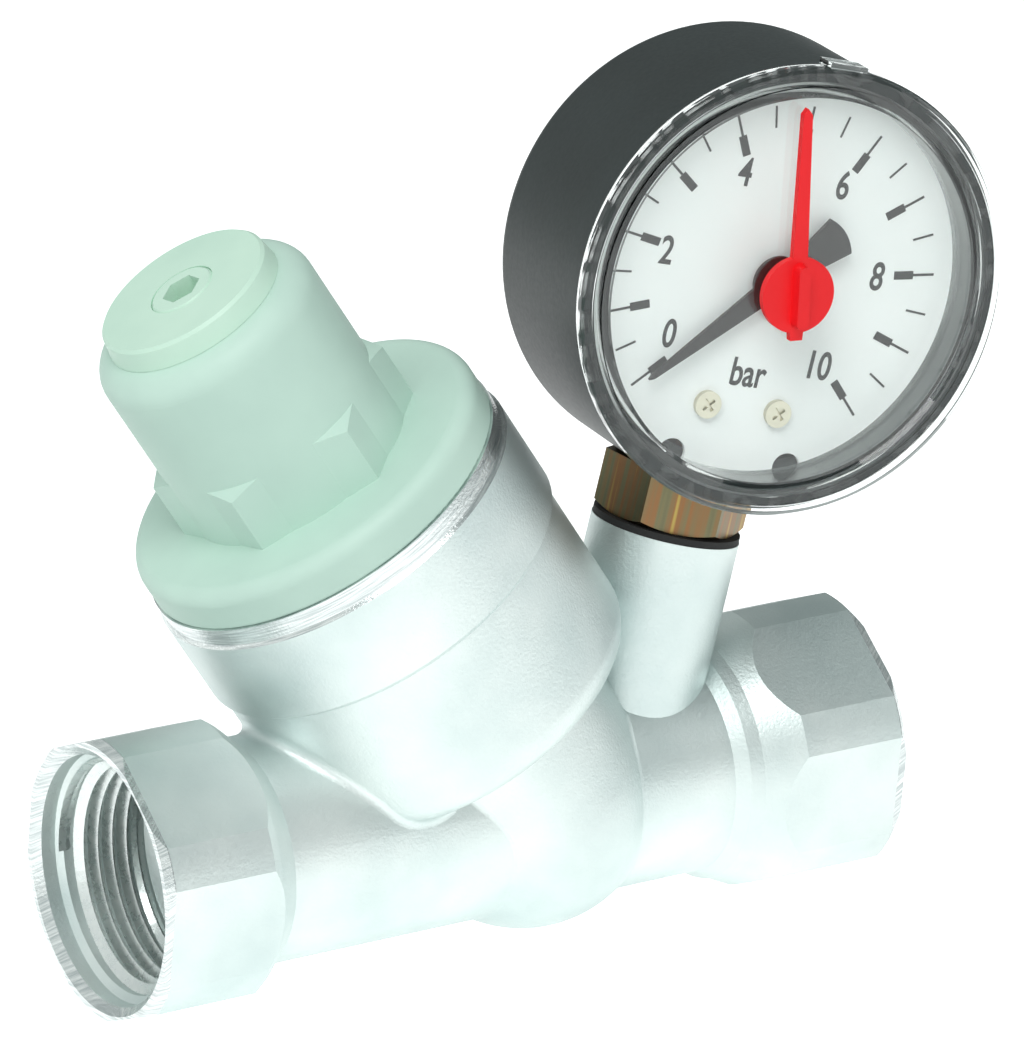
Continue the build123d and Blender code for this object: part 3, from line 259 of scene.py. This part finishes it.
def noise(tree, place, scale, detail=2.0, roughness=0.5):
    """Noise at so many waves per metre."""
    node = tree.nodes.new("ShaderNodeTexNoise")
    node.inputs["Scale"].default_value = scale
    node.inputs["Detail"].default_value = detail
    node.inputs["Roughness"].default_value = roughness
    tree.links.new(place, node.inputs["Vector"])
    return node.outputs["Fac"]


def colours(tree, value, stops):
    """A run of colours along a value, as (position, colour) pairs."""
    ramp = tree.nodes.new("ShaderNodeValToRGB")
    elements = ramp.color_ramp.elements
    while len(elements) < len(stops):
        elements.new(0.5)
    for element, (position, colour) in zip(elements, stops):
        element.position = position
        element.color = (*colour, 1)
    tree.links.new(value, ramp.inputs["Fac"])
    return ramp.outputs["Color"]


def spread(tree, value, low, high):
    """A value from nought to one, spread from low to high."""
    node = tree.nodes.new("ShaderNodeMapRange")
    node.inputs["To Min"].default_value = low
    node.inputs["To Max"].default_value = high
    tree.links.new(value, node.inputs["Value"])
    return node.outputs["Result"]


def bumps(tree, shader, value, height_mm, strength=1.0, under=None):
    """Pushes the surface in and out by a height in millimetres."""
    node = tree.nodes.new("ShaderNodeBump")
    node.inputs["Distance"].default_value = height_mm * MM
    node.inputs["Strength"].default_value = strength
    tree.links.new(value, node.inputs["Height"])
    if under is not None:
        tree.links.new(under, node.inputs["Normal"])
    tree.links.new(node.outputs["Normal"], shader.inputs["Normal"])
    return node.outputs["Normal"]


def wear(piece, material):
    """Gives a measured piece its finish."""
    nodes[piece].data.materials.clear()
    nodes[piece].data.materials.append(material)


# %% Metals
MACHINED_FROM = 0.0427
RIM_DEPTH = 0.0009


def beyond(tree, value, limit, operation="GREATER_THAN"):
    """One where a value lies past a limit, nought elsewhere."""
    node = tree.nodes.new("ShaderNodeMath")
    node.operation = operation
    tree.links.new(value, node.inputs[0])
    node.inputs[1].default_value = limit
    return node.outputs[0]


def either(tree, first, second):
    """The larger of two values."""
    node = tree.nodes.new("ShaderNodeMath")
    node.operation = "MAXIMUM"
    tree.links.new(first, node.inputs[0])
    tree.links.new(second, node.inputs[1])
    return node.outputs[0]


def axis_parts(tree, place):
    """The three parts of a place."""
    node = tree.nodes.new("ShaderNodeSeparateXYZ")
    tree.links.new(place, node.inputs[0])
    return node.outputs


def blend(tree, factor, first, second, kind="FLOAT"):
    """One value where the factor is nought, the other where it is one."""
    node = tree.nodes.new("ShaderNodeMix")
    node.data_type = kind
    ends = {"FLOAT": (2, 3, 0), "RGBA": (6, 7, 2)}[kind]
    tree.links.new(factor, node.inputs[0])
    tree.links.new(first, node.inputs[ends[0]])
    tree.links.new(second, node.inputs[ends[1]])
    return node.outputs[ends[2]]


def cast_nickel():
    """Blasted casting under thin nickel, with the seat of the cover and both rims turned bright."""
    material, tree, shader = finish_material("cast_nickel", metallic=0.85)
    place = object_place(tree)
    along_bonnet = axis_parts(tree, object_place(tree, matrix=bonnet))["Z"]
    along_pipe = axis_parts(tree, place)["X"]
    rims = either(
        tree,
        beyond(tree, along_pipe, RIM_DEPTH, "LESS_THAN"),
        beyond(tree, along_pipe, pipe_end - RIM_DEPTH),
    )
    machined = either(tree, beyond(tree, along_bonnet, MACHINED_FROM), rims)
    patches = noise(tree, place, 60, 3)
    grain = noise(tree, place, 2600, 3, 0.6)
    streaks = noise(tree, object_place(tree, (220, 220, 5200), bonnet), 1, 2)
    cast = colours(tree, patches, [(0.3, (0.60, 0.69, 0.68)), (0.7, (0.80, 0.86, 0.84))])
    turned = colours(tree, streaks, [(0.35, (0.52, 0.57, 0.57)), (0.65, (0.84, 0.88, 0.87))])
    tree.links.new(blend(tree, machined, cast, turned, "RGBA"), shader.inputs["Base Color"])
    dull = spread(tree, grain, 0.34, 0.56)
    bright = spread(tree, streaks, 0.16, 0.28)
    tree.links.new(blend(tree, machined, dull, bright), shader.inputs["Roughness"])
    bumps(tree, shader, grain, 0.07, 0.7)
    return material


def turned_nickel(matrix=None):
    """Nickel on a face cut in the lathe, with a fine mottle in its tone and roughness."""
    material, tree, shader = finish_material("turned_nickel", metallic=0.95)
    place = object_place(tree)
    streaks = noise(tree, place, 900, 2)
    colour = colours(tree, streaks, [(0.3, (0.72, 0.77, 0.76)), (0.7, (0.82, 0.86, 0.84))])
    tree.links.new(colour, shader.inputs["Base Color"])
    tree.links.new(spread(tree, streaks, 0.22, 0.34), shader.inputs["Roughness"])
    return material


def bare_brass(name, tone, roughness):
    """Machined brass without plating."""
    material, tree, shader = finish_material(name, metallic=1.0)
    place = object_place(tree)
    patches = noise(tree, place, 400, 3)
    darker = tuple(0.8 * part for part in tone)
    tree.links.new(colours(tree, patches, [(0.3, darker), (0.7, tone)]), shader.inputs["Base Color"])
    tree.links.new(spread(tree, patches, roughness, roughness + 0.12), shader.inputs["Roughness"])
    return material


def stained_brass(matrix):
    """Brass bar stock, drawn along the stem and stained olive, brown and yellow in streaks."""
    material, tree, shader = finish_material("stained_brass", metallic=1.0)
    streaks = noise(tree, object_place(tree, (330, 330, 14), matrix), 1, 3, 0.65)
    stains = [
        (0.30, (0.085, 0.085, 0.065)),
        (0.44, (0.17, 0.16, 0.09)),
        (0.55, (0.26, 0.13, 0.06)),
        (0.66, (0.50, 0.42, 0.12)),
    ]
    tree.links.new(colours(tree, streaks, stains), shader.inputs["Base Color"])
    tree.links.new(spread(tree, streaks, 0.30, 0.46), shader.inputs["Roughness"])
    return material


def steel(name, tone, roughness):
    """Bright or plated steel."""
    material, tree, shader = finish_material(name, metallic=1.0)
    place = object_place(tree)
    patches = noise(tree, place, 500, 3)
    darker = tuple(0.86 * part for part in tone)
    tree.links.new(colours(tree, patches, [(0.3, darker), (0.7, tone)]), shader.inputs["Base Color"])
    tree.links.new(spread(tree, patches, roughness, roughness + 0.1), shader.inputs["Roughness"])
    return material


# %% Plastics and rubber
def moulded(name, tone, shade, roughness, grain_scale=1800, grain_mm=0.02):
    """Moulded plastic with slow tone changes and a fine grain."""
    material, tree, shader = finish_material(name)
    place = object_place(tree)
    clouds = noise(tree, place, 90, 3)
    grain = noise(tree, place, grain_scale, 2, 0.6)
    tree.links.new(colours(tree, clouds, [(0.3, shade), (0.7, tone)]), shader.inputs["Base Color"])
    tree.links.new(spread(tree, grain, roughness - 0.06, roughness + 0.08), shader.inputs["Roughness"])
    bumps(tree, shader, grain, grain_mm, 0.5)
    return material


def clear_plastic():
    """The lens: clear with a slight green tint. Lamps shine through it, so the dial stays bright."""
    material, tree, shader = finish_material("clear_plastic")
    place = object_place(tree)
    smears = noise(tree, place, 160, 2)
    shader.inputs["Base Color"].default_value = (0.97, 1.0, 0.99, 1)
    shader.inputs["Transmission Weight"].default_value = 1.0
    shader.inputs["IOR"].default_value = 1.49
    tree.links.new(spread(tree, smears, 0.0, 0.05), shader.inputs["Roughness"])
    see_through = tree.nodes.new("ShaderNodeBsdfTransparent")
    path = tree.nodes.new("ShaderNodeLightPath")
    either_one = tree.nodes.new("ShaderNodeMixShader")
    tree.links.new(path.outputs["Is Shadow Ray"], either_one.inputs[0])
    tree.links.new(shader.outputs[0], either_one.inputs[1])
    tree.links.new(see_through.outputs[0], either_one.inputs[2])
    tree.links.new(either_one.outputs[0], tree.nodes["Material Output"].inputs["Surface"])
    return material


nickel = cast_nickel()
movement_brass = bare_brass("movement_brass", (0.80, 0.62, 0.28), 0.28)
stem_foot = Vector((0.0656, 0.0, 0.0))
stem_axis = dial_right.normalized().cross(-dial_forward.normalized()) * -1
stem_brass = stained_brass(plane_matrix(stem_foot, (1, 0, 0), stem_axis))
screw_metal = steel("screw_metal", (0.66, 0.62, 0.50), 0.3)
thread_nickel = turned_nickel()
plain_steel = steel("plain_steel", (0.66, 0.67, 0.68), 0.28)
spring_steel = steel("spring_steel", (0.48, 0.49, 0.50), 0.36)
cover_plastic = moulded("cover_plastic", (0.60, 0.80, 0.70), (0.55, 0.74, 0.65), 0.5)
cap_plastic = moulded("cap_plastic", (0.64, 0.86, 0.72), (0.58, 0.80, 0.67), 0.45)
black_plastic = moulded("black_plastic", (0.014, 0.022, 0.022), (0.009, 0.015, 0.015), 0.42)
cartridge_plastic = moulded("cartridge_plastic", (0.10, 0.11, 0.12), (0.07, 0.08, 0.09), 0.5)
rubber = moulded("black_rubber", (0.02, 0.02, 0.02), (0.012, 0.012, 0.012), 0.75)
dial_white = moulded("dial_white", (0.86, 0.88, 0.87), (0.83, 0.86, 0.85), 0.45)
pointer_black = moulded("pointer_black", (0.012, 0.012, 0.012), (0.008, 0.008, 0.008), 0.5)
marker_red = moulded("marker_red", (0.95, 0.004, 0.010), (0.88, 0.003, 0.008), 0.5)
clear = clear_plastic()

wearing = {
    nickel: ["body"],
    movement_brass: [
        "spring_nut", "diaphragm_upper_plate", "diaphragm_lower_plate",
        "valve_stem", "stem_nut", "obturator", "bourdon_tube", "tube_tip", "link",
        "back_plate", "front_plate", "plate_pillars", "sector_gear", "pinion",
    ],
    stem_brass: ["gauge_socket"],
    plain_steel: ["thrust_washer", "slip_ring", "seal_washer", "seal_screw", "seat_ring", "strainer", "movement_screws"],
    spring_steel: ["adjusting_spring", "hairspring"],
    cover_plastic: ["cover"],
    cap_plastic: ["cover_cap", "adjusting_screw"],
    screw_metal: ["dial_screws"],
    black_plastic: ["gauge_case"],
    cartridge_plastic: ["cartridge_housing"],
    rubber: ["gauge_gasket", "diaphragm", "obturator_seal", "piston_ring", "cartridge_upper_ring", "cartridge_nose_ring"],
    dial_white: ["gauge_dial"],
    pointer_black: ["pointer"],
    marker_red: ["marker_hand", "marker_stud"],
    clear: ["gauge_lens"],
}
for material, pieces in wearing.items():
    for piece in pieces:
        wear(piece, material)
print("pieces with a finish:", sum(len(pieces) for pieces in wearing.values()))

# %% [markdown]
# The dial is a white sheet printed in black. The scale runs from 0 to 10 bar over 270 degrees, so
# one bar is 27 degrees. The same stroke is repeated round a centre, which suits Geometry Nodes:
# points that all lie in the middle, each carrying one stroke turned a step further. An array
# modifier could do it too, but it would need a helper object to turn about.

# %% Strokes of the scale
SCALE_START = 225.0
BAR_STEP = -27.0
BARS = 10
PRINT_THICKNESS = 0.03
PRINT_HEIGHT = 0.03


def stroke_nodes():
    """A node group that turns one stroke round the centre, step by step."""
    group = bpy.data.node_groups.new("scale_strokes", "GeometryNodeTree")
    group.interface.new_socket(name="Count", in_out="INPUT", socket_type="NodeSocketInt")
    for title in ("First Angle", "Step", "Inner", "Outer", "Width", "Thickness"):
        group.interface.new_socket(name=title, in_out="INPUT", socket_type="NodeSocketFloat")
    group.interface.new_socket(name="Ink", in_out="INPUT", socket_type="NodeSocketMaterial")
    group.interface.new_socket(name="Geometry", in_out="OUTPUT", socket_type="NodeSocketGeometry")
    add = group.nodes.new
    link = group.links.new
    given = add("NodeGroupInput").outputs

    def sum_of(first, second, operation):
        node = add("ShaderNodeMath")
        node.operation = operation
        link(first, node.inputs[0])
        if isinstance(second, float):
            node.inputs[1].default_value = second
        else:
            link(second, node.inputs[1])
        return node.outputs[0]

    size = add("ShaderNodeCombineXYZ")
    link(sum_of(given["Outer"], given["Inner"], "SUBTRACT"), size.inputs["X"])
    link(given["Width"], size.inputs["Y"])
    link(given["Thickness"], size.inputs["Z"])
    stroke = add("GeometryNodeMeshCube")
    link(size.outputs[0], stroke.inputs["Size"])
    middle = add("ShaderNodeCombineXYZ")
    both = sum_of(given["Outer"], given["Inner"], "ADD")
    link(sum_of(both, 0.5, "MULTIPLY"), middle.inputs["X"])
    moved = add("GeometryNodeTransform")
    link(stroke.outputs["Mesh"], moved.inputs["Geometry"])
    link(middle.outputs[0], moved.inputs["Translation"])
    points = add("GeometryNodeMeshLine")
    link(given["Count"], points.inputs["Count"])
    points.inputs["Offset"].default_value = (0, 0, 0)
    turn = add("ShaderNodeCombineXYZ")
    steps = sum_of(add("GeometryNodeInputIndex").outputs[0], given["Step"], "MULTIPLY")
    link(sum_of(steps, given["First Angle"], "ADD"), turn.inputs["Z"])
    copies = add("GeometryNodeInstanceOnPoints")
    link(points.outputs["Mesh"], copies.inputs["Points"])
    link(moved.outputs["Geometry"], copies.inputs["Instance"])
    link(turn.outputs[0], copies.inputs["Rotation"])
    real = add("GeometryNodeRealizeInstances")
    link(copies.outputs[0], real.inputs[0])
    inked = add("GeometryNodeSetMaterial")
    link(real.outputs[0], inked.inputs["Geometry"])
    link(given["Ink"], inked.inputs["Material"])
    link(inked.outputs[0], add("NodeGroupOutput").inputs[0])
    return group


strokes_group = stroke_nodes()


def plain_mesh(holder):
    """The finished mesh of an object, after which the object is gone."""
    bpy.context.scene.collection.objects.link(holder)
    graph = bpy.context.evaluated_depsgraph_get()
    mesh = bpy.data.meshes.new_from_object(holder.evaluated_get(graph))
    bpy.data.objects.remove(holder)
    return mesh


def strokes(count, first, step, inner, outer, width):
    """A ring of strokes in millimetres, on a plane with its centre in the middle."""
    holder = bpy.data.objects.new("strokes", bpy.data.meshes.new("strokes"))
    modifier = holder.modifiers.new("strokes", "NODES")
    modifier.node_group = strokes_group
    values = {
        "Count": count, "First Angle": math.radians(first), "Step": math.radians(step),
        "Inner": inner, "Outer": outer, "Width": width,
        "Thickness": PRINT_THICKNESS, "Ink": pointer_black,
    }
    for item in strokes_group.interface.items_tree:
        if item.in_out == "INPUT":
            modifier[item.identifier] = values[item.name]
    return plain_mesh(holder)


scale_meshes = [
    strokes(BARS + 1, SCALE_START, BAR_STEP, 14.9, 17.25, 0.95),
    strokes(BARS + 1, SCALE_START, BAR_STEP, 17.0, 19.8, 0.28),
    strokes(BARS, SCALE_START + BAR_STEP / 2, BAR_STEP, 17.3, 19.8, 0.24),
]
print("strokes:", sum(len(mesh.polygons) for mesh in scale_meshes) // 6)

# %% [markdown]
# The numbers stand upright inside the scale. They are set as text, narrowed and made bolder, and
# turned into a mesh before they are laid on the dial, so that nothing depends on a font later.

# %% Numbers of the scale
NUMBERS = {
    "0": (-10.9, -7.8), "2": (-13.6, 1.4), "4": (-6.4, 11.3),
    "6": (5.8, 11.4), "8": (12.7, 1.8), "10": (8.1, -9.1), "bar": (-0.2, -11.0),
}
TEXT_SIZE = 4.5
TEXT_NARROWING = 0.74
TEXT_BOLDNESS = 0.07


def number_mesh(words, place):
    """A word as a thin solid in millimetres, centred on its place."""
    curve = bpy.data.curves.new("number", "FONT")
    curve.body = words
    curve.size = TEXT_SIZE
    curve.align_x = "CENTER"
    curve.align_y = "CENTER"
    curve.offset = TEXT_BOLDNESS
    curve.extrude = PRINT_THICKNESS / 2
    mesh = plain_mesh(bpy.data.objects.new("number", curve))
    mesh.transform(Matrix.Translation((*place, 0)) @ Matrix.Diagonal((TEXT_NARROWING, 1, 1, 1)))
    return mesh


def joined_piece(name, meshes, matrix, material):
    """Several meshes as one piece of the valve."""
    work = bmesh.new()
    for mesh in meshes:
        work.from_mesh(mesh)
    work.transform(matrix)
    bmesh.ops.recalc_face_normals(work, faces=work.faces)
    mesh = bpy.data.meshes.new(name)
    work.to_mesh(mesh)
    work.free()
    mesh.materials.clear()
    mesh.materials.append(material)
    for face in mesh.polygons:
        face.material_index = 0
    piece = bpy.data.objects.new(name, mesh)
    bpy.context.scene.collection.objects.link(piece)
    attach(piece, "housing")
    return piece


number_meshes = [number_mesh(words, place) for words, place in NUMBERS.items()]
print_place = dial @ Matrix.Translation((0, 0, PRINT_HEIGHT))
dial_print = joined_piece("dial_print", scale_meshes + number_meshes, print_place, pointer_black)
print("faces in the print:", len(dial_print.data.polygons))

# %% [markdown]
# Both mouths have a pipe thread inside. It is cut by a tap on the real valve. Here a ridge with a
# pointed profile is wound along the bore, shallow at both ends, as the tap leaves it. A bump
# would be lighter, but it would vanish at the edge of the mouth, where the thread shows most.

# %% Threads in the mouths
THREAD_ROOT = 13.24
THREAD_HEIGHT = 1.1
THREAD_PITCH = 1.81
THREAD_START = 3.4
THREAD_END = 12.6
THREAD_STEPS = 64


def thread_mesh(face, inward):
    """A ridge wound inside a mouth, in millimetres."""
    count = int((THREAD_END - THREAD_START) / THREAD_PITCH * THREAD_STEPS)
    corners = []
    for step in range(count + 1):
        angle = math.tau * step / THREAD_STEPS
        along = THREAD_START + THREAD_PITCH * step / THREAD_STEPS
        fade = min(1.0, 2 * step / THREAD_STEPS, 2 * (count - step) / THREAD_STEPS)
        crest = THREAD_ROOT - THREAD_HEIGHT * max(fade, 0.05)
        for shift, radius in ((-0.45, THREAD_ROOT), (-0.05, crest), (0.05, crest), (0.45, THREAD_ROOT)):
            x = face + inward * (along + shift * THREAD_PITCH)
            corners.append((x, radius * math.cos(angle), inward * radius * math.sin(angle)))
    faces = [(0, 1, 2, 3), tuple(4 * count + k for k in range(4))]
    for step in range(count):
        for k in range(4):
            first, second = 4 * step + k, 4 * step + (k + 1) % 4
            faces.append((first, second, second + 4, first + 4))
    mesh = bpy.data.meshes.new("thread")
    mesh.from_pydata(corners, [], faces)
    return mesh


for name, face, inward in (("inlet_thread", 0.0, 1), ("outlet_thread", pipe_end / MM, -1)):
    thread = joined_piece(name, [thread_mesh(face, inward)], Matrix.Scale(MM, 4), thread_nickel)
    print(name, "faces:", len(thread.data.polygons))
